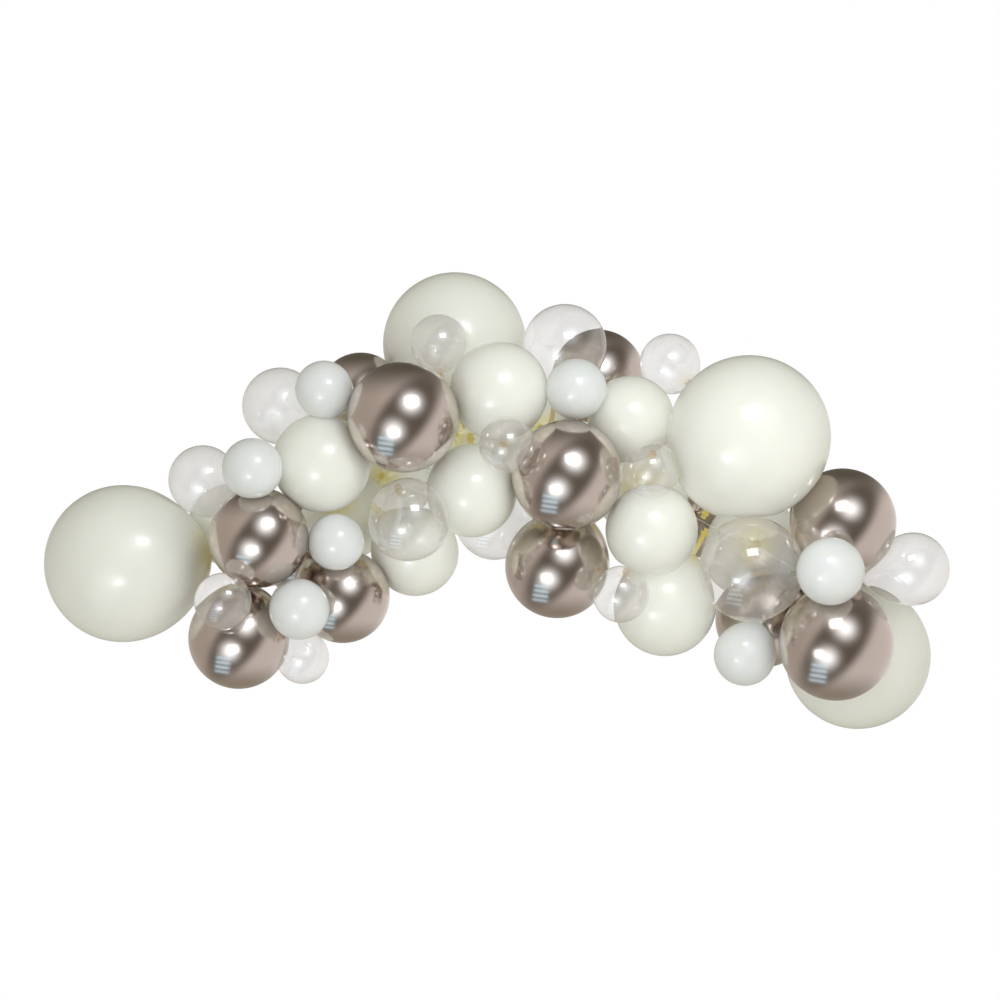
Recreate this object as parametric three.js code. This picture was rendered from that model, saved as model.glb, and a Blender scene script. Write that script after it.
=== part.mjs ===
// A balloon garland: an arch of latex balloons in three sizes and four finishes. The larger balloons are
// tied by their necks to a narrow plastic strip that runs through the middle of the arch, and the rest
// are stuck between them with their knots tucked in. Neighbours press flat against each other.
// Millimetres, +X to the right, +Y away from the viewer, +Z up. The origin is on the top face of the
// strip's level middle stretch, where the garland hangs.
import * as THREE from 'three';

// Driving dimensions
const layoutPitch = 22; // one step of the grid on which the places below are given
const pressDepth = 9; // how far two balloons press into each other before they stop
const holdDepth = 3; // how far a balloon is pressed at least into one that holds it
const pressBlendWidth = 12; // width over which a pressed flat turns back into the round skin
const skinGap = 0.3; // clearance between solids that touch
const neckRadius = 5;
const shortestNeck = 6; // from the end of the body to the knot
const longestNeck = 80; // a balloon whose neck would have to be longer isn't tied to the strip
const knotRadius = 8;
const knotLength = 10;
const lipRadius = 6.5; // rolled rim of the mouth, behind the knot
const lipLength = 7;
const waistRadius = 4; // between the knot and the rim
const stripWidth = 16; // across the strip, front to back
const stripThickness = 1.2;
const stripTab = 40; // length of the flat stretch at each end and in the middle, free of knots
const knotGap = 4; // least clearance between two knots along one face of the strip

// How the balloons settle against each other
const settling = {
  rounds: 900,
  freeRounds: 150, // the last rounds, without the pull towards the wanted places
  sideways: 0.2, // how far a balloon gives way across and up, where it gives way by 1 in depth
  pull: 0.12, // share of the way to its wanted place that it goes back in a round, across and up
  depthPull: 0.01, // the same in depth
  closing: 1, // step per round towards the nearest balloon, until the two touch
  joinRounds: 400, // at most, for balloons that nothing holds yet
};

// How a balloon that isn't tied chooses where its knot goes
const tucking = {
  tries: 150, // directions looked at
  inward: 8, // how much a direction towards the strip counts
  knotGap: 8, // wanted clearance between two knots
  knotWeight: 5, // how much a knot too close to a knot or to the strip counts
  neckStart: 0.75, // share of the way from the centre to the mouth at which the neck begins
};
const touchRounds = 8; // rounds of the search for the point where two balloons touch
const searchRounds = 24; // rounds that narrow one such point down

// Each size's inflated diameter, and the sides and rings of its faceted solid
const sizes = {
  large: { diameter: 340, sides: 14, crownRings: 4, taperRings: 4 },
  medium: { diameter: 220, sides: 10, crownRings: 3, taperRings: 2 },
  small: { diameter: 130, sides: 8, crownRings: 3, taperRings: 2 },
};

// A balloon's form in shares of its own radius: the crown is a half ball, and the lower half tapers
const roundTaper = 1.14; // length of the lower half
const pearTaper = 1.45; // the same on a slack, pear-shaped balloon
const roundFullness = 0.6; // 0.5 would make the lower half an ellipse, 1 nearly a cone
const pearFullness = 0.85;

const finishes = {
  ivory: { color: 0xebe9d6, roughness: 0.35, metalness: 0 },
  white: { color: 0xe9efec, roughness: 0.3, metalness: 0 },
  chrome: { color: 0xb19c8c, roughness: 0.25, metalness: 1 },
  clear: { color: 0xeae6e6, roughness: 0.1, metalness: 0, transparent: true, opacity: 0.3 },
  strip: { color: 0xe6eaea, roughness: 0.2, metalness: 0, transparent: true, opacity: 0.5 },
};

// The strip's course in layout steps across and up, left end first. The level middle stretch comes
// between the two halves.
const courseLeft = [[-25.6, -13], [-22.4, -12], [-17.2, -7.8], [-11.4, -3], [-5, -0.4]];
const courseRight = [
  [5, -0.2], [10.6, -2.6], [16.4, -6.4], [21.4, -9.4], [27.4, -12.4], [32.4, -15.2], [36, -16.6],
];

// The balloons: finish, size, inflated share of the size's diameter, place across and up in layout
// steps, and wanted depth, negative in front of the strip. A knot direction (across, away, up) is
// given only where the knot shows.
const balloons = [
  { name: 'ivory_large_left_end', finish: 'ivory', size: 'large', fill: 1, at: [-37.8, -13.6], depth: 0 },
  { name: 'ivory_large_top', finish: 'ivory', size: 'large', fill: 0.93, at: [-3.9, 8.6], depth: 5 },
  { name: 'ivory_large_right', finish: 'ivory', size: 'large', fill: 1.05, at: [25.5, -0.8], depth: -7 },
  {
    name: 'ivory_large_low_right', finish: 'ivory', size: 'large', fill: 0.95,
    at: [36.7, -22.7], depth: 8.8,
  },

  { name: 'chrome_1', finish: 'chrome', size: 'medium', fill: 1, at: [-23.3, -10.7], depth: -6 },
  { name: 'chrome_2', finish: 'chrome', size: 'medium', fill: 1.01, at: [-25.3, -20.8], depth: -3 },
  { name: 'chrome_3', finish: 'chrome', size: 'medium', fill: 0.94, at: [-15, -16.6], depth: -2 },
  { name: 'chrome_4', finish: 'chrome', size: 'medium', fill: 1.11, at: [-9, 1.2], depth: -8 },
  { name: 'chrome_5', finish: 'chrome', size: 'medium', fill: 0.86, at: [-13.2, 3.5], depth: 3 },
  { name: 'chrome_6', finish: 'chrome', size: 'medium', fill: 1.1, at: [7.4, -4.5], depth: -7 },
  { name: 'chrome_7', finish: 'chrome', size: 'medium', fill: 1.04, at: [6.4, -13.6], depth: -1 },
  { name: 'chrome_8', finish: 'chrome', size: 'medium', fill: 0.92, at: [10.4, 5.4], depth: 5 },
  { name: 'chrome_9', finish: 'chrome', size: 'medium', fill: 1.08, at: [34.7, -9.3], depth: -1 },
  { name: 'chrome_10', finish: 'chrome', size: 'medium', fill: 1.15, at: [34.2, -21.2], depth: -6 },
  { name: 'chrome_11', finish: 'chrome', size: 'medium', fill: 0.96, at: [27.3, -18.3], depth: 5 },

  { name: 'ivory_1', finish: 'ivory', size: 'medium', fill: 0.82, at: [-26.5, -9.5], depth: 1.5 },
  { name: 'ivory_2', finish: 'ivory', size: 'medium', fill: 0.98, at: [-17, -3.3], depth: -4 },
  { name: 'ivory_3', finish: 'ivory', size: 'medium', fill: 0.87, at: [-7.7, -12.2], depth: 1 },
  { name: 'ivory_4', finish: 'ivory', size: 'medium', fill: 0.91, at: [-2.2, -6.2], depth: -7 },
  { name: 'ivory_5', finish: 'ivory', size: 'medium', fill: 0.98, at: [0.6, 3.9], depth: -5 },
  { name: 'ivory_6', finish: 'ivory', size: 'medium', fill: 0.86, at: [13.7, 1], depth: -2 },
  { name: 'ivory_7', finish: 'ivory', size: 'medium', fill: 0.92, at: [15.8, -10], depth: -6 },
  { name: 'ivory_8', finish: 'ivory', size: 'medium', fill: 1.02, at: [17.2, -17.5], depth: -1 },
  { name: 'ivory_9', finish: 'ivory', size: 'medium', fill: 1, at: [26.2, -12], depth: 4 },

  { name: 'white_1', finish: 'white', size: 'small', fill: 1.02, at: [-23.9, -3.9], depth: -9 },
  { name: 'white_2', finish: 'white', size: 'small', fill: 0.97, at: [-16.8, 4], depth: -8 },
  { name: 'white_3', finish: 'white', size: 'small', fill: 0.95, at: [-15.6, -11.2], depth: -7 },
  { name: 'white_4', finish: 'white', size: 'small', fill: 1.02, at: [-19.3, -17.9], depth: -9 },
  { name: 'white_5', finish: 'white', size: 'small', fill: 1.02, at: [8.3, 4.1], depth: -6 },
  { name: 'white_6', finish: 'white', size: 'small', fill: 1.15, at: [33.5, -14.1], depth: -10 },
  { name: 'white_7', finish: 'white', size: 'small', fill: 1.05, at: [25.1, -22.5], depth: -3.5 },

  { name: 'clear_1', finish: 'clear', size: 'small', fill: 1.17, at: [-29, -5], depth: 1 },
  {
    name: 'clear_2', finish: 'clear', size: 'medium', fill: 0.76, at: [-21.3, 2.5], depth: -1,
    knot: [0.6, 0.3, -0.7],
  },
  { name: 'clear_3', finish: 'clear', size: 'small', fill: 0.97, at: [-26.8, -17.1], depth: -9 },
  { name: 'clear_4', finish: 'clear', size: 'small', fill: 0.9, at: [-19.1, -22.7], depth: -2 },
  { name: 'clear_5', finish: 'clear', size: 'small', fill: 0.96, at: [-5.4, 8.7], depth: -3.5 },
  { name: 'clear_6', finish: 'clear', size: 'medium', fill: 0.84, at: [7.2, 8.3], depth: 0 },
  {
    name: 'clear_7', finish: 'clear', size: 'small', fill: 1.02, at: [17.8, 6.8], depth: -1,
    knot: [0.5, 0.75, -0.5],
  },
  { name: 'clear_8', finish: 'clear', size: 'small', fill: 0.95, at: [1.4, -1.5], depth: -12 },
  {
    name: 'clear_9', finish: 'clear', size: 'small', fill: 0.95, at: [15.8, -4], depth: -8,
    knot: [0.05, 0.9, 0.4],
  },
  { name: 'clear_10', finish: 'clear', size: 'small', fill: 0.95, at: [12.5, -16.9], depth: -8 },
  {
    name: 'clear_pear_1', finish: 'clear', size: 'medium', fill: 0.82, at: [-8.3, -9], depth: -7,
    pear: true,
  },
  { name: 'clear_11', finish: 'clear', size: 'medium', fill: 1.05, at: [25.7, -13.9], depth: -8 },
  { name: 'clear_12', finish: 'clear', size: 'medium', fill: 0.8, at: [0.2, -9], depth: 2 },
  {
    name: 'clear_pear_2', finish: 'clear', size: 'medium', fill: 0.73, at: [42.7, -15], depth: 1,
    pear: true,
  },

  { name: 'chrome_back_1', finish: 'chrome', size: 'medium', fill: 0.92, at: [-19, -12], depth: 7 },
  { name: 'ivory_back_1', finish: 'ivory', size: 'medium', fill: 0.9, at: [-10.8, -5], depth: 7 },
  { name: 'ivory_back_2', finish: 'ivory', size: 'medium', fill: 0.92, at: [4.7, 0], depth: 7 },
  { name: 'ivory_back_3', finish: 'ivory', size: 'medium', fill: 1, at: [14.2, -5], depth: 6 },
  { name: 'ivory_back_4', finish: 'ivory', size: 'medium', fill: 0.9, at: [-3.2, -0.6], depth: 6 },
  { name: 'ivory_back_5', finish: 'ivory', size: 'medium', fill: 0.9, at: [-14.8, -8.4], depth: 6 },
  { name: 'chrome_back_2', finish: 'chrome', size: 'medium', fill: 0.82, at: [20.8, -8.8], depth: 7 },
  { name: 'chrome_back_3', finish: 'chrome', size: 'medium', fill: 0.86, at: [35, -11.4], depth: 5 },
];

// The strip's course as points about a facet apart, with a straight stretch in the middle and at
// each end
function makeCourse() {
  const half = stripTab / 2;
  const level = -stripThickness / 2;
  const left = [...courseLeft.map(toPlane), new THREE.Vector2(-half, level)];
  const right = [new THREE.Vector2(half, level), ...courseRight.map(toPlane)];
  return [...stretch(left, 0), ...stretch(right, 1)];
}

function toPlane([across, up]) {
  return new THREE.Vector2(across * layoutPitch, up * layoutPitch);
}

// Even points along a smooth curve, with one straight facet of stripTab at the free end: the first
// point (end 0) or the last (end 1)
function stretch(points, end) {
  const curve = new THREE.SplineCurve(points);
  const facetCount = Math.round(curve.getLength() / stripTab);
  const spaced = curve.getSpacedPoints(facetCount);
  const tip = end ? spaced.length - 1 : 0;
  const beside = end ? tip - 1 : 1;
  const run = spaced[tip].clone().sub(spaced[beside]).setLength(stripTab);
  spaced[tip].copy(spaced[beside]).add(run);
  return spaced;
}

// Place, direction and upward normal at a distance along the course
function alongCourse(course, distance) {
  let left = distance;
  for (let i = 1; i < course.length; i++) {
    const run = course[i].clone().sub(course[i - 1]);
    if (left <= run.length() || i === course.length - 1) {
      const direction = run.clone().normalize();
      const place = course[i - 1].clone().addScaledVector(direction, left);
      return {
        place: new THREE.Vector3(place.x, 0, place.y),
        normal: new THREE.Vector3(-direction.y, 0, direction.x),
      };
    }
    left -= run.length();
  }
}

// The nearest point of the course to a place, and how far along the course it is
function nearestOnCourse(course, place) {
  let best = { gap: Infinity };
  let before = 0;
  for (let i = 1; i < course.length; i++) {
    const start = new THREE.Vector3(course[i - 1].x, 0, course[i - 1].y);
    const end = new THREE.Vector3(course[i].x, 0, course[i].y);
    const line = new THREE.Line3(start, end);
    const share = line.closestPointToPointParameter(place, true);
    const point = line.at(share, new THREE.Vector3());
    const gap = point.distanceTo(place);
    if (gap < best.gap) best = { gap, point, distance: before + share * line.distance() };
    before += line.distance();
  }
  return best;
}

function courseLength(course) {
  let total = 0;
  for (let i = 1; i < course.length; i++) total += course[i].distanceTo(course[i - 1]);
  return total;
}

// Find each balloon's resting place: near its place in the layout, clear of the strip, pressed no
// deeper than pressDepth into any other, and touching its nearest neighbour. Depth gives way first.
function settle(items, course) {
  const { rounds, freeRounds, pull, depthPull } = settling;
  const homing = new THREE.Vector3(pull, depthPull, pull);
  for (const item of items) item.centre = item.home.clone();
  for (let round = 0; round < rounds; round++) {
    if (round < rounds - freeRounds) {
      for (const item of items) {
        item.centre.add(item.home.clone().sub(item.centre).multiply(homing));
      }
    }
    partAll(items);
    for (const item of items) closeIn(item, items);
    keepOffStrip(items, course);
  }
  joinLoose(items, course);
}

function partAll(items) {
  for (let i = 0; i < items.length; i++) {
    for (let j = i + 1; j < items.length; j++) {
      const between = items[j].centre.clone().sub(items[i].centre);
      const wanted = items[i].radius + items[j].radius - pressDepth;
      if (between.length() < wanted) part(items[i], items[j], between, wanted);
    }
  }
}

// One step towards the nearest of some other balloons, until the two touch
function closeIn(item, others) {
  let nearest = { gap: Infinity };
  for (const other of others) {
    if (other === item) continue;
    const between = other.centre.clone().sub(item.centre);
    const gap = between.length() - item.radius - other.radius + pressDepth / 2;
    if (gap < nearest.gap) nearest = { gap, between };
  }
  if (nearest.gap > 0) {
    const step = Math.min(nearest.gap, settling.closing);
    item.centre.addScaledVector(nearest.between.normalize(), step);
  }
}

function keepOffStrip(items, course) {
  const ease = new THREE.Vector3(settling.sideways, 1, settling.sideways);
  for (const item of items) {
    const near = nearestOnCourse(course, item.centre);
    const reach = item.taperLength + shortestNeck + knotLength + lipLength + knotHeight();
    if (near.gap < reach) {
      const away = item.centre.clone().sub(near.point);
      const step = away.clone().setLength(reach - near.gap).multiply(ease);
      item.centre.add(step);
    }
  }
}

// Balloons that neither the strip nor a held neighbour holds go to the nearest one that is held
function joinLoose(items, course) {
  for (let round = 0; round < settling.joinRounds; round++) {
    const held = findHeld(items, course);
    const loose = items.filter((item) => !held.includes(item));
    if (loose.length === 0) return;
    for (const item of loose) closeIn(item, held);
    partAll(items);
    keepOffStrip(items, course);
  }
}

function findHeld(items, course) {
  const held = items.filter((item) => reachesStrip(item, nearestOnCourse(course, item.centre)));
  for (const item of held) {
    for (const other of items) {
      const span = other.centre.distanceTo(item.centre);
      const pressed = item.radius + other.radius - span;
      if (pressed >= holdDepth && !held.includes(other)) held.push(other);
    }
  }
  return held;
}

// Whether a balloon is tied to the strip: its neck would be no longer than longestNeck
function reachesStrip(item, near) {
  const neck = near.gap - item.taperLength - knotLength - lipLength;
  return item.size !== 'small' && neck <= longestNeck;
}

// Move two balloons apart until their centres are the wanted distance away from each other
function part(first, second, between, wanted) {
  const ease = new THREE.Vector3(settling.sideways, 1, settling.sideways);
  const line = between.clone().normalize();
  const give = 2 * line.clone().multiply(line).dot(ease);
  const push = (wanted - between.length()) / give;
  const move = line.multiply(ease).multiplyScalar(push);
  first.centre.sub(move);
  second.centre.add(move);
}

// Height of a knot's centre line above the strip's middle plane when the knot rests on its face
function knotHeight() {
  return stripThickness / 2 + skinGap + knotRadius;
}

// Tie every balloon within reach to the strip: knots stand in a row on each face, in the order of
// their balloons, and keep off the flat stretches
function tieToStrip(items, course) {
  const total = courseLength(course);
  const tabs = [[0, stripTab], [total, stripTab]];
  const middle = nearestOnCourse(course, new THREE.Vector3(0, 0, -stripThickness / 2)).distance;
  tabs.push([middle, stripTab / 2 + knotRadius]);
  for (const face of [1, -1]) {
    const row = [];
    for (const item of items) {
      const near = nearestOnCourse(course, item.centre);
      if (!reachesStrip(item, near)) continue;
      const spot = alongCourse(course, near.distance);
      const side = item.centre.clone().sub(spot.place).dot(spot.normal) >= 0 ? 1 : -1;
      if (side === face) row.push({ item, distance: near.distance });
    }
    row.sort((a, b) => a.distance - b.distance);
    spreadKnots(row, tabs, total);
    for (const { item, distance } of row) {
      const spot = alongCourse(course, distance);
      const edge = THREE.MathUtils.clamp(item.centre.y, -stripWidth / 2, stripWidth / 2);
      item.mouth = spot.place.clone().addScaledVector(spot.normal, face * knotHeight());
      item.mouth.y += edge;
      item.tied = true;
    }
  }
}

// Space the knots of one row out, first towards the right end and then back from it
function spreadKnots(row, tabs, total) {
  let least = stripTab;
  for (const knot of row) {
    knot.distance = Math.max(knot.distance, least);
    for (const [middle, reach] of tabs) {
      const off = knot.distance - middle;
      if (Math.abs(off) < reach) knot.distance = middle + reach;
    }
    least = knot.distance + 2 * knotRadius + knotGap;
  }
  let most = total - stripTab;
  for (const knot of row.slice().reverse()) {
    knot.distance = Math.min(knot.distance, most);
    most = knot.distance - 2 * knotRadius - knotGap;
  }
}

// A balloon that isn't tied to the strip turns its knot into the widest gap it can find, inwards
function tuckKnots(items, course) {
  for (const item of items) {
    if (item.mouth) continue;
    const reach = item.taperLength + shortestNeck + knotLength + lipLength;
    if (item.knot) {
      const direction = new THREE.Vector3(...item.knot).normalize();
      item.mouth = item.centre.clone().addScaledVector(direction, reach);
      continue;
    }
    const inward = nearestOnCourse(course, item.centre).point.sub(item.centre).normalize();
    let best = { cost: Infinity };
    for (const direction of directions(tucking.tries)) {
      const mouth = item.centre.clone().addScaledVector(direction, reach);
      const cost = crowding(item, mouth, items, course) - tucking.inward * direction.dot(inward);
      if (cost < best.cost) best = { cost, mouth };
    }
    item.mouth = best.mouth;
  }
}

// Evenly spread unit vectors
function directions(count) {
  const goldenAngle = Math.PI * (3 - Math.sqrt(5));
  const list = [];
  for (let i = 0; i < count; i++) {
    const up = 1 - (2 * i + 1) / count;
    const across = Math.sqrt(1 - up * up);
    const turn = goldenAngle * i;
    list.push(new THREE.Vector3(across * Math.cos(turn), across * Math.sin(turn), up));
  }
  return list;
}

// How far a neck that ends at this mouth would run into other balloons, their necks and the strip
function crowding(item, mouth, items, course) {
  const { knotWeight, neckStart } = tucking;
  const knotClearance = 2 * knotRadius + tucking.knotGap;
  let cost = 0;
  const knotEnd = new THREE.Line3(item.centre.clone().lerp(mouth, neckStart), mouth);
  for (const other of items) {
    if (other === item) continue;
    const near = knotEnd.closestPointToPoint(other.centre, true, new THREE.Vector3());
    cost += Math.max(0, other.radius + knotRadius - near.distanceTo(other.centre));
    if (!other.mouth) continue;
    const otherNeck = new THREE.Line3(other.centre, other.mouth);
    const beside = otherNeck.closestPointToPoint(mouth, true, new THREE.Vector3());
    cost += knotWeight * Math.max(0, knotClearance - beside.distanceTo(mouth));
  }
  const stripClearance = 2 * knotRadius + stripWidth / 2;
  cost += knotWeight * Math.max(0, stripClearance - nearestOnCourse(course, mouth).gap);
  return cost;
}

// Two balloons touch at the points of their centre lines where the round skins come closest, or
// overlap most. Each centre line runs from the centre, with the body's radius, to the mouth, with
// the knot's.
function touch(first, second) {
  const [radiusA, radiusB] = [first.radius, second.radius];
  let [u, v] = [0, 0];
  const pointA = new THREE.Vector3();
  const pointB = new THREE.Vector3();
  const gapAt = (a, b) => {
    pointA.lerpVectors(first.centre, first.mouth, a);
    pointB.lerpVectors(second.centre, second.mouth, b);
    return pointA.distanceTo(pointB) - mix(radiusA, knotRadius, a) - mix(radiusB, knotRadius, b);
  };
  for (let round = 0; round < touchRounds; round++) {
    u = lowest((a) => gapAt(a, v));
    v = lowest((b) => gapAt(u, b));
  }
  const gap = gapAt(u, v);
  const line = pointB.clone().sub(pointA).normalize();
  const skinA = mix(radiusA, knotRadius, u);
  const skinB = mix(radiusB, knotRadius, v);
  const offsetA = skinA + gap * skinA / (skinA + skinB) - skinGap / 2;
  const offsetB = skinB + gap * skinB / (skinA + skinB) - skinGap / 2;
  return {
    gap,
    line,
    reachA: line.dot(pointA.clone().sub(first.centre)) + offsetA,
    reachB: -line.dot(pointB.clone().sub(second.centre)) + offsetB,
  };
}

function mix(a, b, share) {
  return a + (b - a) * share;
}

// Where in 0 to 1 a function with a single dip is lowest
function lowest(height) {
  let [low, high] = [0, 1];
  for (let round = 0; round < searchRounds; round++) {
    const third = (high - low) / 3;
    if (height(low + third) < height(high - third)) high -= third;
    else low += third;
  }
  const middle = (low + high) / 2;
  return height(0) <= height(middle) ? 0 : middle;
}

// Give every balloon the planes at which its neighbours stop it
function pressTogether(items) {
  for (const item of items) item.stops = [];
  for (let i = 0; i < items.length; i++) {
    for (let j = i + 1; j < items.length; j++) {
      const contact = touch(items[i], items[j]);
      if (contact.gap > pressBlendWidth) continue;
      items[i].stops.push({ line: contact.line, reach: contact.reachA });
      items[j].stops.push({ line: contact.line.clone().negate(), reach: contact.reachB });
    }
  }
}

// Width over which a stop's flat turns back into the round skin: no wider than the stop cuts into it,
// so that the middle of the flat lies against its plane
function blendWidth({ line, reach }, axis, rings) {
  const lengthwise = line.dot(axis);
  const sideways = Math.sqrt(1 - Math.min(lengthwise * lengthwise, 1));
  let depth = 0;
  for (const { along, out, body } of rings) {
    if (body) depth = Math.max(depth, along * lengthwise + out * sideways - reach);
  }
  return Math.min(depth, pressBlendWidth);
}

// The shorter of two distances, rounded over where they differ by less than a width
function shorter(a, b, width) {
  const alike = width - Math.abs(a - b);
  return Math.min(a, b) - (alike > 0 ? alike * alike / (4 * width) : 0);
}

// A balloon's half outline from its crown to its mouth: how far along its axis and how far out
function outline(item) {
  const { crownRings, taperRings } = sizes[item.size];
  const { radius, taperLength, fullness } = item;
  const rings = [];
  for (let i = 1; i <= crownRings; i++) {
    const angle = (i / crownRings) * Math.PI / 2;
    rings.push({ along: radius * Math.cos(angle), out: radius * Math.sin(angle), body: true });
  }
  for (let i = 1; i <= taperRings; i++) {
    const share = Math.sin((2 * i / (2 * taperRings + 1)) * Math.PI / 2);
    const out = radius * (1 - share * share) ** fullness;
    rings.push({ along: -taperLength * share, out: Math.max(out, neckRadius), body: true });
  }
  const mouth = -item.centre.distanceTo(item.mouth);
  rings.push({ along: mouth + lipLength + knotLength, out: neckRadius });
  rings.push({ along: mouth + lipLength + knotLength / 2, out: knotRadius });
  rings.push({ along: mouth + lipLength, out: waistRadius });
  rings.push({ along: mouth, out: lipRadius });
  return rings;
}

function makeBalloon(item) {
  const { sides } = sizes[item.size];
  const axis = item.centre.clone().sub(item.mouth).normalize();
  const across = new THREE.Vector3(0, 0, 1).cross(axis);
  if (across.length() === 0) across.set(1, 0, 0);
  across.normalize();
  const third = axis.clone().cross(across);
  const rings = outline(item);
  for (const stop of item.stops) stop.blend = blendWidth(stop, axis, rings);
  const points = [squeeze(axis.clone().multiplyScalar(item.radius), item, true)];
  for (const ring of rings) {
    for (let i = 0; i < sides; i++) {
      const angle = (i / sides) * Math.PI * 2;
      const offset = axis.clone().multiplyScalar(ring.along);
      offset.addScaledVector(across, ring.out * Math.cos(angle));
      offset.addScaledVector(third, ring.out * Math.sin(angle));
      points.push(squeeze(offset, item, ring.body));
    }
  }
  points.push(squeeze(axis.clone().multiplyScalar(rings[rings.length - 1].along), item, false));
  return solid(points, rings.length, sides);
}

// Move one point of the skin, given from the centre, inside all the stops: the body's points come
// straight in towards the centre, and the neck's move sideways
function squeeze(offset, item, isBody) {
  const point = offset.clone();
  if (isBody) {
    const direction = offset.clone().normalize();
    let distance = offset.length();
    for (const { line, reach, blend } of item.stops) {
      const slope = direction.dot(line);
      if (slope > 0) distance = shorter(distance, reach / slope, blend);
    }
    return point.copy(direction).multiplyScalar(distance);
  }
  for (const { line, reach } of item.stops) {
    const beyond = point.dot(line) - reach;
    if (beyond > 0) point.addScaledVector(line, -beyond);
  }
  return point;
}

// A closed surface from a first pole, rings of points and a last pole
function solid(points, ringCount, sides) {
  const positions = [];
  for (const point of points) positions.push(point.x, point.y, point.z);
  const faces = [];
  const last = points.length - 1;
  for (let i = 0; i < sides; i++) {
    const next = (i + 1) % sides;
    faces.push(0, 1 + i, 1 + next);
    for (let ring = 0; ring < ringCount - 1; ring++) {
      const here = 1 + ring * sides;
      const below = here + sides;
      faces.push(here + i, below + i, below + next);
      faces.push(here + i, below + next, here + next);
    }
    const foot = 1 + (ringCount - 1) * sides;
    faces.push(foot + i, last, foot + next);
  }
  const geometry = new THREE.BufferGeometry();
  geometry.setAttribute('position', new THREE.Float32BufferAttribute(positions, 3));
  geometry.setIndex(faces);
  return geometry;
}

// The strip: its thin outline along the course, extruded from the front edge to the back edge
function makeStrip(course) {
  const upper = [];
  const lower = [];
  course.forEach((point, i) => {
    const before = course[Math.max(i - 1, 0)];
    const after = course[Math.min(i + 1, course.length - 1)];
    const here = i === 0 ? after.clone().sub(point) : point.clone().sub(before);
    const next = i === course.length - 1 ? here : after.clone().sub(point);
    const bend = here.clone().normalize().add(next.clone().normalize()).normalize();
    const lean = bend.dot(here.clone().normalize());
    const half = new THREE.Vector2(-bend.y, bend.x).multiplyScalar(stripThickness / 2 / lean);
    upper.push(point.clone().add(half));
    lower.push(point.clone().sub(half));
  });
  const shape = new THREE.Shape([...lower, ...upper.reverse()]);
  const geometry = new THREE.ExtrudeGeometry(shape, { depth: stripWidth, bevelEnabled: false });
  geometry.translate(0, 0, -stripWidth / 2);
  return geometry.rotateX(Math.PI / 2);
}

function addPiece(group, name, finish, geometry) {
  const mesh = new THREE.Mesh(geometry, new THREE.MeshStandardMaterial(finishes[finish]));
  mesh.name = name;
  group.add(mesh);
  return mesh;
}

const course = makeCourse();
for (const balloon of balloons) {
  balloon.radius = sizes[balloon.size].diameter * balloon.fill / 2;
  balloon.taperLength = balloon.radius * (balloon.pear ? pearTaper : roundTaper);
  balloon.fullness = balloon.pear ? pearFullness : roundFullness;
  const [across, up] = balloon.at;
  balloon.home = new THREE.Vector3(across, balloon.depth, up).multiplyScalar(layoutPitch);
}
settle(balloons, course);
tieToStrip(balloons, course);
tuckKnots(balloons, course);
pressTogether(balloons);

const garland = new THREE.Group();
addPiece(garland, 'decorating_strip', 'strip', makeStrip(course));
for (const balloon of balloons) {
  const mesh = addPiece(garland, `balloon_${balloon.name}`, balloon.finish, makeBalloon(balloon));
  mesh.position.copy(balloon.centre);
}

export default garland;
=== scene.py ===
import math

import bmesh
import bpy
import numpy as np
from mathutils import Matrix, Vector


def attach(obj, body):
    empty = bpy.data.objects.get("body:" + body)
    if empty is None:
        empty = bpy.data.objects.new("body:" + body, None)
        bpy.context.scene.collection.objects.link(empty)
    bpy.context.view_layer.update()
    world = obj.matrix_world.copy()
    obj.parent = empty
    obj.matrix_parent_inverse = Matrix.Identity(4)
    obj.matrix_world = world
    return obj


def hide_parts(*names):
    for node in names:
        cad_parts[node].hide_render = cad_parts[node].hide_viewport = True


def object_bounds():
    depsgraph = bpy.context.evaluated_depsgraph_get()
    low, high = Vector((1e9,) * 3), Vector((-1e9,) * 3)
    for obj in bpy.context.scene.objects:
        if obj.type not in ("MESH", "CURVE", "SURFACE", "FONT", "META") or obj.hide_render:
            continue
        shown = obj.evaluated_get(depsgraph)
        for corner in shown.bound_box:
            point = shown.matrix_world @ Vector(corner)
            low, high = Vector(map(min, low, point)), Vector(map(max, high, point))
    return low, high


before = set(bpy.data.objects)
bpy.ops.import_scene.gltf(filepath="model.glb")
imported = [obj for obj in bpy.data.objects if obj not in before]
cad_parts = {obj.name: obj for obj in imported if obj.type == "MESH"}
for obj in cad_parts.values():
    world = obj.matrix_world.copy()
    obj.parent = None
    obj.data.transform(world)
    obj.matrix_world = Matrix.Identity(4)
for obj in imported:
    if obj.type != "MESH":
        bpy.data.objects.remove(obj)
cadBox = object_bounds()
print("frame loaded:", len(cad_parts), "nodes")


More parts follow.
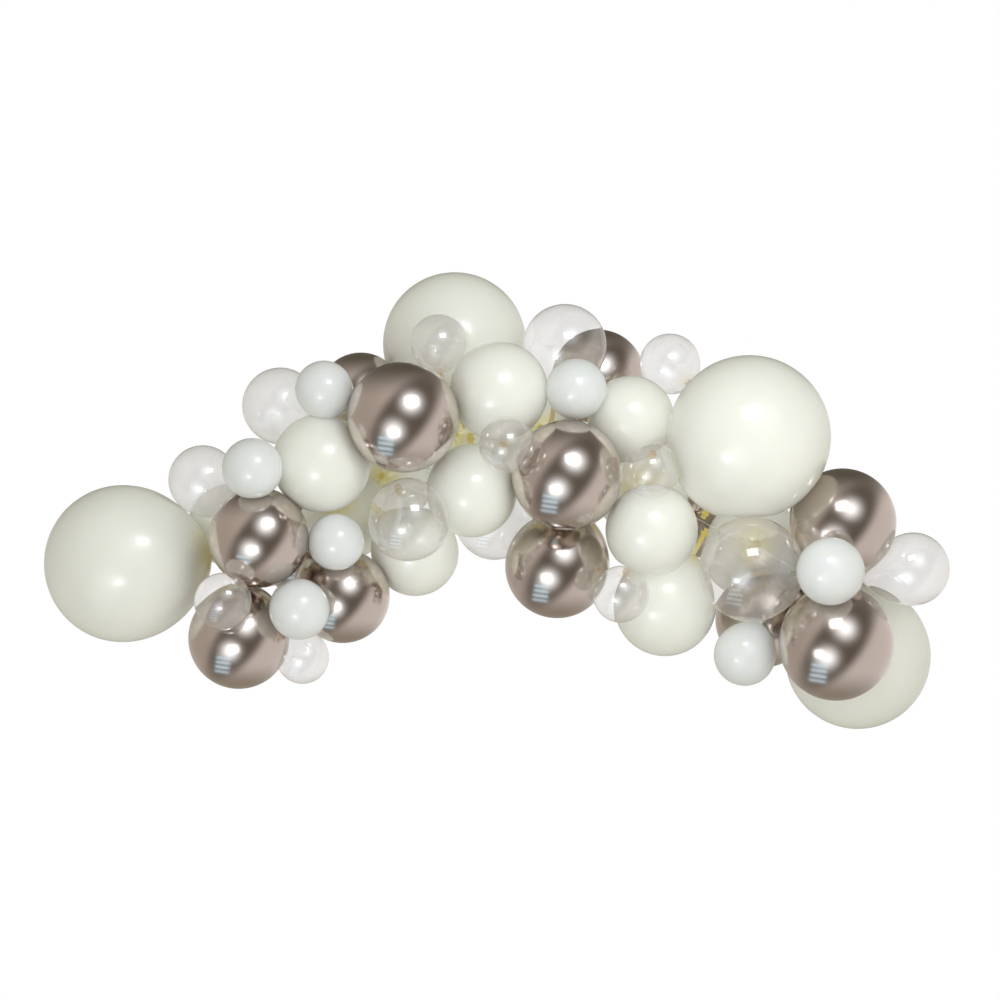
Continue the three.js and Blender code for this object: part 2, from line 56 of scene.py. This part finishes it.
# A shader socket that works in Python expressions: every operator adds its Math node
class Flow:
    def __init__(self, tree, socket=None):
        self.tree = tree
        self.socket = socket

    # Any node: its settings first, then the values or links of its sockets
    def add(self, kind, settings=None, values=None, output=0):
        node = self.tree.nodes.new(kind)
        for name, value in (settings or {}).items():
            setattr(node, name, value)
        for name, value in (values or {}).items():
            if isinstance(value, Flow):
                self.tree.links.new(value.socket, node.inputs[name])
            else:
                node.inputs[name].default_value = value
        return Flow(self.tree, node.outputs[output] if node.outputs else None)

    def work(self, operation, *terms):
        return self.add("ShaderNodeMath", {"operation": operation}, dict(enumerate(terms)))

    def __add__(self, other):
        return self.work("ADD", self, other)

    def __radd__(self, other):
        return self.work("ADD", other, self)

    def __sub__(self, other):
        return self.work("SUBTRACT", self, other)

    def __rsub__(self, other):
        return self.work("SUBTRACT", other, self)

    def __mul__(self, other):
        return self.work("MULTIPLY", self, other)

    def __truediv__(self, other):
        return self.work("DIVIDE", self, other)

    def __pow__(self, other):
        return self.work("POWER", self, other)

    def ramp(self, low, high):
        values = {0: self, 1: low, 2: high, 3: 0.0, 4: 1.0}
        return self.add("ShaderNodeMapRange", {"interpolation_type": "SMOOTHSTEP"}, values)

    def blend(self, first, second):
        values = {0: self, 6: first, 7: second}
        return self.add("ShaderNodeMix", {"data_type": "RGBA", "clamp_factor": True}, values, output=2)


def startMaterial(name):
    material = bpy.data.materials.new(name)
    material.use_nodes = True
    material.node_tree.nodes.clear()
    return material, Flow(material.node_tree)


# A finished Principled shader: the settings that stay the same are set on its own sockets
def finishMaterial(flow, values):
    shader = flow.add("ShaderNodeBsdfPrincipled", None, values)
    flow.add("ShaderNodeOutputMaterial", None, {"Surface": shader})


def grain(flow, size, detail=2.0):
    place = flow.add("ShaderNodeTexCoord", output="Object")
    return flow.add("ShaderNodeTexNoise", None, {"Vector": place, "Scale": 1 / size, "Detail": detail})


# How slack the skin is: 0 on the body, 1 on the knot
def slackness(flow):
    return flow.add("ShaderNodeAttribute", {"attribute_name": "slack"}, output="Fac")


# The skin's faint unevenness
def pebbled(flow, finish):
    pebble = grain(flow, finish["pebbleSize"], 1.0)
    values = {"Strength": finish["pebble"], "Distance": finish["pebbleHeight"], "Height": pebble}
    return flow.add("ShaderNodeBump", None, values)


# A skin's colour from its body to its neck, by the finish's own limits. On the ivory latex the slack colour
# is partly painted shade.
def skinColour(shade, tone, finish):
    body = shade.ramp(*finish["slackEdge"]).blend(tone["taut"], tone["slack"])
    return shade.ramp(*finish["neckEdge"]).blend(body, tone["neck"])


# Latex

latexFinish = {
    "ivory": {
        # The ivory's slack colour is partly the deeper tone of less stretched latex and partly painted
        # shade: the yellow dimness of the gaps where the necks tuck in between balloons.
        "taut": (0.865, 0.87, 0.805, 1), "slack": (0.80, 0.74, 0.40, 1), "neck": (0.72, 0.58, 0.16, 1),
        "roughness": 0.2, "roughnessSpread": 0.05,
    },
    "white": {
        "taut": (0.78, 0.80, 0.795, 1), "slack": (0.70, 0.74, 0.70, 1), "neck": (0.66, 0.68, 0.62, 1),
        "roughness": 0.18, "roughnessSpread": 0.05,
    },
    "mottleSize": 0.045, "mottle": 0.06, "slackRoughness": 0.1, "ior": 1.52,
    # The slack colour starts early on the taper, so on the ivory the painted yellow shade reaches over more
    # of each balloon's lower body.
    "slackEdge": (0.02, 0.75), "neckEdge": (0.8, 1.0),
    "pebbleSize": 0.012, "pebble": 0.03, "pebbleHeight": 0.0002,
    "scatter": 0.3, "scatterRadius": (0.03, 0.028, 0.016),
}


def makeLatex(name, tone):
    material, flow = startMaterial(name)
    slack = slackness(flow)
    mottle = grain(flow, latexFinish["mottleSize"]) - 0.5
    colour = skinColour(slack + mottle * latexFinish["mottle"], tone, latexFinish)
    roughness = tone["roughness"] + mottle * tone["roughnessSpread"] + slack * latexFinish["slackRoughness"]
    finishMaterial(flow, {
        "Base Color": colour, "Roughness": roughness, "Normal": pebbled(flow, latexFinish),
        "IOR": latexFinish["ior"],
        "Subsurface Weight": latexFinish["scatter"], "Subsurface Radius": latexFinish["scatterRadius"],
        "Subsurface Scale": 1.0,
    })
    return material


chromeFinish = {
    "taut": (0.60, 0.515, 0.455, 1), "slack": (0.36, 0.27, 0.20, 1), "neck": (0.22, 0.14, 0.09, 1),
    "roughness": 0.2, "roughnessSpread": 0.05, "slackRoughness": 0.15,
    "mottleSize": 0.03, "mottle": 0.05, "slackEdge": (0.02, 0.7), "neckEdge": (0.8, 1.0),
    "pebbleSize": 0.012, "pebble": 0.03, "pebbleHeight": 0.0002,
    "coat": 1.0, "coatRoughness": 0.07, "coatIor": 1.8,
}


def makeChrome(name):
    material, flow = startMaterial(name)
    slack = slackness(flow)
    mottle = grain(flow, chromeFinish["mottleSize"]) - 0.5
    colour = skinColour(slack + mottle * chromeFinish["mottle"], chromeFinish, chromeFinish)
    roughness = chromeFinish["roughness"] + mottle * chromeFinish["roughnessSpread"]
    roughness = roughness + slack * chromeFinish["slackRoughness"]
    finishMaterial(flow, {
        "Base Color": colour, "Roughness": roughness, "Normal": pebbled(flow, chromeFinish),
        "Metallic": 1.0,
        "Coat Weight": chromeFinish["coat"], "Coat Roughness": chromeFinish["coatRoughness"],
        "Coat IOR": chromeFinish["coatIor"],
    })
    return material


# The slacker a clear balloon, the thicker and milkier its skin: "haze" is the share of light that the
# skin scatters and doesn't let through. It hardly bends light, and its gloss is the coat.
clearFinish = {
    "colour": (0.93, 0.917, 0.91, 1), "neck": (0.85, 0.68, 0.45, 1), "roughness": 0.0, "ior": 1.01,
    "haze": 0.08, "hazes": {"1": 0.42, "2": 0.36, "6": 0.04, "7": 0.04, "12": 0.16, "pear_2": 0.14},
    "neckEdge": (0.3, 1.0), "coat": 1.0, "coatRoughness": 0.03, "coatIor": 2.1,
}


def makeClear(name, haze):
    material, flow = startMaterial(name)
    colour = slackness(flow).ramp(*clearFinish["neckEdge"]).blend(clearFinish["colour"], clearFinish["neck"])
    finishMaterial(flow, {
        "Base Color": colour, "Roughness": clearFinish["roughness"], "Transmission Weight": 1 - haze,
        "IOR": clearFinish["ior"], "Coat Weight": clearFinish["coat"],
        "Coat Roughness": clearFinish["coatRoughness"], "Coat IOR": clearFinish["coatIor"],
    })
    return material


stripFinish = {
    "colour": (0.88, 0.9, 0.9, 1), "alpha": 0.2, "ior": 1.58,
    "roughness": 0.18, "scuffSize": 0.004, "scuff": 0.15,
}


def makeStripPlastic(name):
    material, flow = startMaterial(name)
    scuff = grain(flow, stripFinish["scuffSize"], 3.0)
    finishMaterial(flow, {
        "Base Color": stripFinish["colour"], "Alpha": stripFinish["alpha"], "IOR": stripFinish["ior"],
        "Roughness": stripFinish["roughness"] + scuff * stripFinish["scuff"],
    })
    return material


materials = {
    "ivory": makeLatex("ivory latex", latexFinish["ivory"]),
    "white": makeLatex("white latex", latexFinish["white"]),
    "chrome": makeChrome("champagne chrome latex"),
    "strip": makeStripPlastic("clear strip plastic"),
}
print("materials made:", len(materials))


# Balloons

# Lengths in metres, as in the solids
balloonForm = {
    "roundTaper": 1.14, "pearTaper": 1.45, "roundFullness": 0.6, "pearFullness": 0.85,
    "neckRadius": 0.005, "knotRadius": 0.008, "knotLength": 0.010, "lipRadius": 0.0065,
    "lipLength": 0.007, "waistRadius": 0.004, "skinGap": 0.0003, "pressBlend": 0.012, "bead": 0.0008,
    "lipEnd": 0.001,
    "folds": 7, "foldDepth": 0.14, "foldTwist": 90, "foldStart": 0.35, "foldRange": 0.45,
    "neckSlack": 0.8, "slackRise": 8, "knotFullness": 0.7, "lipFlare": 1.6, "mouthShare": 0.6,
    "neckRings": 5, "knotRings": 8, "lipRings": 5, "beadRings": 5, "mouthDepth": 0.004,
    "smallestMedium": 0.08,
}
balloonDetail = {
    "large": {"sides": 128, "crownRings": 30, "taperRings": 34},
    "medium": {"sides": 96, "crownRings": 24, "taperRings": 26},
    "small": {"sides": 72, "crownRings": 18, "taperRings": 20},
}


# One balloon as its solid has it: centre, axis from mouth to crown, greatest radius and length
def measureBalloon(name, node):
    shell = bmesh.new()
    shell.from_mesh(node.data)
    bmesh.ops.remove_doubles(shell, verts=shell.verts, dist=1e-6)
    poles = sorted(shell.verts, key=lambda vertex: -len(vertex.link_edges))[:2]
    poles.sort(key=lambda pole: pole.link_edges[0].calc_length())
    mouth, crown = poles[0].co.copy(), poles[1].co.copy()
    axis = (crown - mouth).normalized()

    def outFrom(vertex):
        offset = vertex.co - mouth
        return (offset - axis * offset.dot(axis)).length

    widest = max(shell.verts, key=outFrom)
    radius = outFrom(widest)
    centre = mouth + axis * (widest.co - mouth).dot(axis)
    shell.free()
    pear = "pear" in name
    finish = name.split("_")[1]
    return {
        "name": name, "finish": finish, "centre": centre, "mouth": mouth, "axis": axis, "radius": radius,
        "taper": radius * balloonForm["pearTaper" if pear else "roundTaper"],
        "fullness": balloonForm["pearFullness" if pear else "roundFullness"], "stops": [],
    }


def mix(first, second, share):
    return first + (second - first) * share


# Where in 0 to 1 a function with a single dip is lowest
def lowest(height):
    low, high = 0.0, 1.0
    for _ in range(22):
        third = (high - low) / 3
        if height(low + third) < height(high - third):
            high -= third
        else:
            low += third
    middle = (low + high) / 2
    return 0.0 if height(0.0) <= height(middle) else middle


# The plane at which two balloons stop each other, by the same rule as in the solids
def touch(first, second):
    knot = balloonForm["knotRadius"]

    def gapAt(u, v):
        pointA = first["centre"].lerp(first["mouth"], u)
        pointB = second["centre"].lerp(second["mouth"], v)
        return (pointB - pointA).length - mix(first["radius"], knot, u) - mix(second["radius"], knot, v)

    u, v = 0.0, 0.0
    for _ in range(8):
        before = (u, v)
        u = lowest(lambda share: gapAt(share, v))
        v = lowest(lambda share: gapAt(u, share))
        if abs(u - before[0]) + abs(v - before[1]) < 1e-5:
            break
    gap = gapAt(u, v)
    pointA = first["centre"].lerp(first["mouth"], u)
    pointB = second["centre"].lerp(second["mouth"], v)
    line = (pointB - pointA).normalized()
    skinA = mix(first["radius"], knot, u)
    skinB = mix(second["radius"], knot, v)
    halfGap = balloonForm["skinGap"] / 2
    reachA = line.dot(pointA - first["centre"]) + skinA + gap * skinA / (skinA + skinB) - halfGap
    reachB = line.dot(second["centre"] - pointB) + skinB + gap * skinB / (skinA + skinB) - halfGap
    return gap, line, reachA, reachB


def pressTogether(balloons):
    for index, first in enumerate(balloons):
        for second in balloons[index + 1:]:
            span = (second["centre"] - first["centre"]).length
            reach = sum(max(b["radius"], (b["mouth"] - b["centre"]).length) for b in (first, second))
            if span > reach + balloonForm["pressBlend"]:
                continue
            gap, line, reachA, reachB = touch(first, second)
            if gap > balloonForm["pressBlend"]:
                continue
            first["stops"].append((np.array(line), reachA))
            second["stops"].append((np.array(-line), reachB))


# Even shares of a stretch, up to its end
def steps(count):
    return [i / count for i in range(1, count + 1)]


# Half outline from crown to mouth: along the axis, out from it, slackness, and 1 on the body
def outline(balloon, detail):
    form = balloonForm
    radius, taper = balloon["radius"], balloon["taper"]
    neck = form["neckRadius"]
    end = -(balloon["mouth"] - balloon["centre"]).length
    rings = []
    for share in steps(detail["crownRings"]):
        angle = share * math.pi / 2
        rings.append((radius * math.cos(angle), radius * math.sin(angle), 0.0, 1))
    for step in steps(detail["taperRings"]):
        share = math.sin(step * math.pi / 2)
        body = radius * (1 - share * share) ** balloon["fullness"]
        out = (body ** 3 + neck ** 3) ** (1 / 3)
        slack = share ** form["slackRise"] * form["neckSlack"]
        rings.append((-taper * share, out, slack, 1))
    knotStart = end + form["lipLength"] + form["knotLength"]
    for share in steps(form["neckRings"]):
        rings.append((mix(-taper, knotStart, share), neck, mix(form["neckSlack"], 1.0, share), 0))
    for share in steps(form["knotRings"]):
        swell = math.sin(share * math.pi) ** form["knotFullness"] if share < 1 else 0.0
        base = mix(neck, form["waistRadius"], share)
        out = mix(base, form["knotRadius"], swell)
        rings.append((knotStart - form["knotLength"] * share, out, 1.0, 0))
    for share in steps(form["lipRings"]):
        out = mix(form["waistRadius"], form["lipRadius"] - form["bead"], share ** form["lipFlare"])
        rings.append((mix(end + form["lipLength"], end + form["lipEnd"], share), out, 1.0, 0))
    bead = form["bead"]
    for share in steps(form["beadRings"]):
        turn = share * math.pi
        out = form["lipRadius"] - bead * 2 + bead * (1 + math.cos(turn))
        rings.append((end + bead - bead * math.sin(turn), out, 1.0, 0))
    rings.append((end + form["mouthDepth"], form["waistRadius"] * form["mouthShare"], 1.0, 0))
    return np.array(rings)


# The shorter of two distances, rounded over where they differ by less than a width
def shorter(first, second, width):
    alike = np.maximum(width - np.abs(first - second), 0)
    return np.minimum(first, second) - alike * alike / (4 * width)


# A flat's rim is rounded over no further than its stop cuts into the skin, so its middle stays whole
def squeezeBody(offsets, stops, skin):
    distance = np.linalg.norm(offsets, axis=1)
    direction = offsets / distance[:, None]
    for line, reach in stops:
        width = np.clip((skin @ line).max() - reach, 1e-6, balloonForm["pressBlend"])
        slope = direction @ line
        limit = np.where(slope > 0.01, reach / np.maximum(slope, 0.01), np.inf)
        near = np.minimum(limit, distance + 1.0)
        distance = np.where(slope > 0.01, shorter(distance, near, width), distance)
    return direction * distance[:, None]


def squeezeNeck(offsets, stops):
    for line, reach in stops:
        beyond = np.maximum(offsets @ line - reach, 0)
        offsets = offsets - beyond[:, None] * line
    return offsets


def makeBalloon(balloon):
    size = "small" if balloon["radius"] < balloonForm["smallestMedium"] else "medium"
    size = "large" if "large" in balloon["name"] else size
    detail = balloonDetail[size]
    sides = detail["sides"]
    rings = outline(balloon, detail)
    axis = np.array(balloon["axis"])
    across = np.cross((0, 0, 1), axis)
    if np.linalg.norm(across) < 0.01:
        across = np.array((1.0, 0, 0))
    across /= np.linalg.norm(across)
    third = np.cross(axis, across)
    angle = np.arange(sides) / sides * 2 * math.pi
    around = np.cos(angle)[:, None] * across + np.sin(angle)[:, None] * third
    along, out, slack, body = rings.T
    depth = np.clip((slack - balloonForm["foldStart"]) / balloonForm["foldRange"], 0, 1)
    crease = balloonForm["foldDepth"] * depth
    turn = balloonForm["folds"] * angle[None, :] + along[:, None] * balloonForm["foldTwist"]
    spread = out[:, None] * (1 + crease[:, None] * np.cos(turn))
    offsets = along[:, None, None] * axis + spread[:, :, None] * around[None, :, :]
    flat = offsets.reshape(-1, 3)
    isBody = np.repeat(body > 0.5, sides)
    skin = flat[isBody]
    flat[isBody] = squeezeBody(skin, balloon["stops"], skin)
    flat[~isBody] = squeezeNeck(flat[~isBody], balloon["stops"])
    crown = squeezeBody((axis * balloon["radius"])[None, :], balloon["stops"], skin)
    tail = squeezeNeck((axis * along[-1])[None, :], balloon["stops"])
    points = np.vstack([crown, flat, tail]) + np.array(balloon["centre"])
    tone = np.concatenate([[0.0], np.repeat(slack, sides), [1.0]])
    return meshPiece(balloon["name"] + "_skin", points, ringFaces(len(rings), sides), tone)


def ringFaces(ringCount, sides):
    faces = []
    last = ringCount * sides + 1
    for i in range(sides):
        j = (i + 1) % sides
        faces.append((0, 1 + i, 1 + j))
        for ring in range(ringCount - 1):
            here = 1 + ring * sides
            faces.append((here + i, here + sides + i, here + sides + j, here + j))
        foot = 1 + (ringCount - 1) * sides
        faces.append((foot + i, last, foot + j))
    return faces


def meshPiece(name, points, faces, tone):
    mesh = bpy.data.meshes.new(name)
    mesh.from_pydata(points.tolist(), [], faces)
    mesh.polygons.foreach_set("use_smooth", [True] * len(mesh.polygons))
    if tone is not None:
        mesh.attributes.new("slack", "FLOAT", "POINT").data.foreach_set("value", tone)
    piece = bpy.data.objects.new(name, mesh)
    bpy.context.scene.collection.objects.link(piece)
    return piece


balloons = []
for name in sorted(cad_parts):
    if name.startswith("balloon_"):
        balloons.append(measureBalloon(name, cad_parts[name]))
pressTogether(balloons)
print("balloons measured:", len(balloons))
for balloon in balloons:
    piece = makeBalloon(balloon)
    if balloon["finish"] == "clear":
        number = balloon["name"].removeprefix("balloon_clear_")
        haze = clearFinish["hazes"].get(number, clearFinish["haze"])
        piece.data.materials.append(makeClear("clear latex " + number, haze))
    else:
        piece.data.materials.append(materials[balloon["finish"]])
    piece.visible_shadow = balloon["finish"] == "chrome"  # the others let light through
    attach(piece, "root")
    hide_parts(balloon["name"])
print("balloons made")


# Strip

# A large and a small hole by turns, each in the middle of its own cell
stripForm = {
    "width": 0.016, "thickness": 0.0012, "cell": 0.0135, "holes": (0.0042, 0.0022),
    "sideSteps": 8,
}


# The middle line of the strip's solid, with the upward direction at each of its points
def measureStrip(node):
    corners = sorted({tuple(round(value, 6) for value in vertex.co) for vertex in node.data.vertices})
    front = [Vector(corner) for corner in corners if corner[1] < 0]
    line = []
    while front:
        corner = front.pop(0)
        other = min(front, key=lambda place: (place - corner).length)
        front.remove(other)
        upper, lower = (corner, other) if corner.z > other.z else (other, corner)
        line.append((np.array((upper + lower) / 2), np.array((upper - lower).normalized())))
    line.sort(key=lambda point: point[0][0])
    return np.array([point[0] for point in line]), np.array([point[1] for point in line])


# One cell's outline, from -1 to 1 along and across, in even steps on all four sides
def cellOutline():
    steps = np.linspace(-1, 1, stripForm["sideSteps"] + 1)[:-1]
    sides = [(share, -1) for share in steps] + [(1, share) for share in steps]
    sides += [(-share, 1) for share in steps] + [(-1, -share) for share in steps]
    return np.array(sides)


def makeStrip():
    places, ups = measureStrip(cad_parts["decorating_strip"])
    runs = np.linalg.norm(np.diff(places, axis=0), axis=1)
    distances = np.concatenate([[0], np.cumsum(runs)])
    count = 2 * round(distances[-1] / stripForm["cell"] / 2) + 1
    cell = distances[-1] / count
    border = cellOutline() * (cell / 2, stripForm["width"] / 2)
    turns = np.arctan2(border[:, 1], border[:, 0])
    hole = np.stack([np.cos(turns), np.sin(turns)], axis=1)
    half = stripForm["thickness"] / 2
    loopSize = len(border)
    onEdge = 0.49  # half a cell or half the width, less a little
    points, faces = [], []
    for index in range(count):
        radius = stripForm["holes"][index % 2]
        first = len(points)
        for loop, height in ((border, half), (hole * radius, half), (hole * radius, -half), (border, -half)):
            for along, across in loop:
                points.append((cell * (index + 0.5) + along, across, height))
        for ring in range(3):
            for i in range(loopSize):
                j = (i + 1) % loopSize
                here, below = first + ring * loopSize, first + (ring + 1) * loopSize
                faces.append((here + i, here + j, below + j, below + i))
        for i in range(loopSize):
            j = (i + 1) % loopSize
            outer = border[[i, j]] / (cell, stripForm["width"])
            isEnd = index == 0 and (outer[:, 0] < -onEdge).all()
            isEnd = isEnd or (index == count - 1 and (outer[:, 0] > onEdge).all())
            if isEnd or (np.abs(outer[:, 1]) > onEdge).all():
                lowest = first + 3 * loopSize
                faces.append((first + j, first + i, lowest + i, lowest + j))
    points = np.array(points)
    middle = np.stack([np.interp(points[:, 0], distances, places[:, axis]) for axis in range(3)], axis=1)
    up = np.stack([np.interp(points[:, 0], distances, ups[:, axis]) for axis in range(3)], axis=1)
    up /= np.linalg.norm(up, axis=1)[:, None]
    bent = middle + up * points[:, 2:]
    bent[:, 1] = points[:, 1]
    piece = meshPiece("decorating_strip_perforated", bent, faces, None)
    shell = bmesh.new()
    shell.from_mesh(piece.data)
    bmesh.ops.remove_doubles(shell, verts=shell.verts, dist=1e-5)
    bmesh.ops.recalc_face_normals(shell, faces=shell.faces)
    for face in shell.faces:
        face.smooth = False
    shell.to_mesh(piece.data)
    shell.free()
    piece.data.materials.append(materials["strip"])
    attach(piece, "root")
    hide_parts("decorating_strip")


makeStrip()
print("strip made")


# Studio

# The lights stand where the two highlights on every balloon put them. Each softbox has its place in
# metres, width, height, radiance in the middle, and the share of it that its edges keep; the front
# fill isn't mirrored.
studio = {
    "frameWidth": 2.2, "viewCentre": (0.0154, -0.154), "distance": 30.0, "sensor": 36.0,
    "floorDrop": 2.0, "floorRadius": 30.0, "floorSides": 96,
    "softboxes": [
        ((0.62, -2.4, 1.45), 1.15, 0.85, 16.0, 0.25),
        ((-1.0, -2.35, -1.45), 1.15, 0.85, 14.0, 0.06),
    ],
    "fillPlace": (1.3, -1.9, -0.2), "fillSize": 1.2, "fillRadiance": 1.7,
    "fillLow": (0.40, 0.39, 0.26, 1), "fillHigh": (0.67, 0.67, 0.65, 1), "fillUp": 0.1,
    "fillEdge": (-0.9, 0.9),
    "lampTone": (0.96, 1.0, 1.07, 1), "floorColour": (0.93, 0.93, 0.93, 1), "floorGlow": 0.12,
}

# What the balloons mirror beside the lights, laid out as a mirror ball shows it from the front, -1
# to 1 across and up: the walls, darker overhead, round a dark ellipse with a louvred window
surroundings = {
    "wall": (0.80, 0.76, 0.74, 1), "farWall": (0.52, 0.47, 0.43, 1), "farWallEdge": (0.25, -0.75),
    "ceiling": (0.13, 0.115, 0.09, 1), "ceilingEdge": (0.3, 0.9),
    "ground": (0.34, 0.30, 0.25, 1), "groundEdge": (-0.45, -0.95),
    "dark": (0.15, 0.13, 0.11, 1), "darkMiddle": (0.03, 0.0), "darkTurn": 53,
    "darkLength": 0.92, "darkWidth": 0.42, "darkEdge": (1.4, 0.5),
    "glow": (2.1, 2.25, 2.4, 1), "glowMiddles": [(0.15, 0.25), (-0.17, -0.25)], "glowEdge": (0.45, 0.0),
    "window": (0.95, 1.3, 1.55, 1), "windowMiddle": (-0.31, -0.50), "windowTurn": -8,
    "windowWidth": 0.15, "windowHeight": 0.19, "windowSideEdge": (1.3, 0.5), "windowTopEdge": (1.3, 0.4),
    "slatStep": 0.09, "slatEdge": (-1.0, 0.8),
}


def makeCamera():
    lens = bpy.data.cameras.new("camera")
    lens.sensor_width = studio["sensor"]
    lens.lens = studio["sensor"] * studio["distance"] / studio["frameWidth"]
    lens.clip_end = 200
    camera = bpy.data.objects.new("camera", lens)
    across, up = studio["viewCentre"]
    camera.location = (across, -studio["distance"], up)
    camera.rotation_euler = (math.pi / 2, 0, 0)
    bpy.context.scene.collection.objects.link(camera)
    bpy.context.scene.camera = camera


def makeFloor():
    level = cadBox[0].z - studio["floorDrop"]
    count = studio["floorSides"]
    corners = []
    reach = studio["floorRadius"]
    for i in range(count):
        turn = i / count * 2 * math.pi
        corners.append((reach * math.cos(turn), reach * math.sin(turn), level))
    floor = meshPiece("floor", np.array(corners), [tuple(range(count))], None)
    material, flow = startMaterial("floor paint")
    finishMaterial(flow, {
        "Base Color": studio["floorColour"], "Roughness": 0.6,
        "Emission Color": (1, 1, 1, 1), "Emission Strength": studio["floorGlow"],
    })
    floor.data.materials.append(material)
    floor.visible_glossy = False


# A flat light that faces the garland
def makeLight(name, place, width, height, radiance):
    light = bpy.data.lights.new(name, "AREA")
    light.shape = "RECTANGLE"
    light.size = width
    light.size_y = height
    light.energy = radiance * width * height * math.pi
    lamp = bpy.data.objects.new(name, light)
    across, up = studio["viewCentre"]
    lamp.location = place
    lamp.rotation_euler = (lamp.location - Vector((across, 0, up))).to_track_quat("Z", "Y").to_euler()
    lamp.visible_transmission = False  # so that it isn't seen through the clear balloons
    bpy.context.scene.collection.objects.link(lamp)
    return lamp


# The lamp behind a softbox's cloth makes its middle much brighter than its edges
def shadeSoftbox(lamp, edgeShare):
    lamp.data.use_nodes = True
    lamp.data.node_tree.nodes.clear()
    flow = Flow(lamp.data.node_tree)
    place = flow.add("ShaderNodeNewGeometry", output="Parametric")
    middle = {"operation": "DISTANCE"}
    out = flow.add("ShaderNodeVectorMath", middle, {0: place, 1: (0.5, 0.5, 0.0)}, output=1)
    glow = out.ramp(0.5, 0.0)
    glow = edgeShare + glow * glow
    light = flow.add("ShaderNodeEmission", None, {"Color": studio["lampTone"], "Strength": glow})
    flow.add("ShaderNodeOutputLight", None, {"Surface": light})


def makeLights():
    for index, (place, width, height, radiance, edgeShare) in enumerate(studio["softboxes"]):
        shadeSoftbox(makeLight(f"softbox {index + 1}", place, width, height, radiance), edgeShare)
    size = studio["fillSize"]
    fill = makeLight("front fill", studio["fillPlace"], size, size, studio["fillRadiance"])
    fill.visible_glossy = False


# 1 inside a turned box or ellipse's own frame: places along its two axes
def turned(across, up, middle, turn):
    slope = math.radians(turn)
    across = across - middle[0]
    up = up - middle[1]
    return across * math.cos(slope) + up * math.sin(slope), up * math.cos(slope) - across * math.sin(slope)


def mirroredSky(flow, across, away, up):
    s = surroundings
    spread = (2.002 - away * 2) ** 0.5
    across = across / spread
    up = up / spread
    sky = across.ramp(*s["farWallEdge"]).blend(s["wall"], s["farWall"])
    sky = up.ramp(*s["ceilingEdge"]).blend(sky, s["ceiling"])
    sky = up.ramp(*s["groundEdge"]).blend(sky, s["ground"])
    along, beside = turned(across, up, s["darkMiddle"], s["darkTurn"])
    along = along * (1 / s["darkLength"])
    beside = beside * (1 / s["darkWidth"])
    sky = (along * along + beside * beside).ramp(*s["darkEdge"]).blend(sky, s["dark"])
    for middle in s["glowMiddles"]:
        along, beside = turned(across, up, middle, 0)
        near = (along * along + beside * beside + 0.0001) ** 0.5
        near = near.ramp(*s["glowEdge"])
        sky = (near * near * near).blend(sky, s["glow"])
    along, beside = turned(across, up, s["windowMiddle"], s["windowTurn"])
    slats = flow.work("SINE", beside * (2 * math.pi / s["slatStep"]))
    along = along * (1 / s["windowWidth"])
    beside = beside * (1 / s["windowHeight"])
    pane = (along * along).ramp(*s["windowSideEdge"]) * (beside * beside).ramp(*s["windowTopEdge"])
    return (pane * slats.ramp(*s["slatEdge"])).blend(sky, s["window"])


# White all round where the camera sees it, also through clear balloons, the studio where it is
# mirrored, and an even sky for the rest
def makeWorld():
    world = bpy.data.worlds.new("studio")
    bpy.context.scene.world = world
    world.use_nodes = True
    world.node_tree.nodes.clear()
    flow = Flow(world.node_tree)
    place = flow.add("ShaderNodeTexCoord", output="Generated")
    across, away, up = [flow.add("ShaderNodeSeparateXYZ", None, {0: place}, output=axis) for axis in "XYZ"]

    def path(output):
        return flow.add("ShaderNodeLightPath", output=output)

    # Mirrored: straight off a glossy skin. Straight: from the camera, with nothing but clear skins between.
    mirrored = path("Is Glossy Ray") * flow.work("LESS_THAN", path("Diffuse Depth"), 0.5)
    turns = path("Ray Depth") - path("Transmission Depth")
    straight = path("Is Camera Ray") + path("Is Transmission Ray") * flow.work("LESS_THAN", turns, 1.5)
    even = (up * studio["fillUp"] - away).ramp(*studio["fillEdge"])
    even = even.blend(studio["fillLow"], studio["fillHigh"])
    sky = mirrored.blend(even, mirroredSky(flow, across, away, up))
    sky = straight.blend(sky, (1, 1, 1, 1))
    background = flow.add("ShaderNodeBackground", None, {"Color": sky})
    flow.add("ShaderNodeOutputWorld", None, {"Surface": background})


makeCamera()
makeFloor()
makeLights()
makeWorld()
bpy.context.scene.view_settings.view_transform = "Standard"
print("studio made")
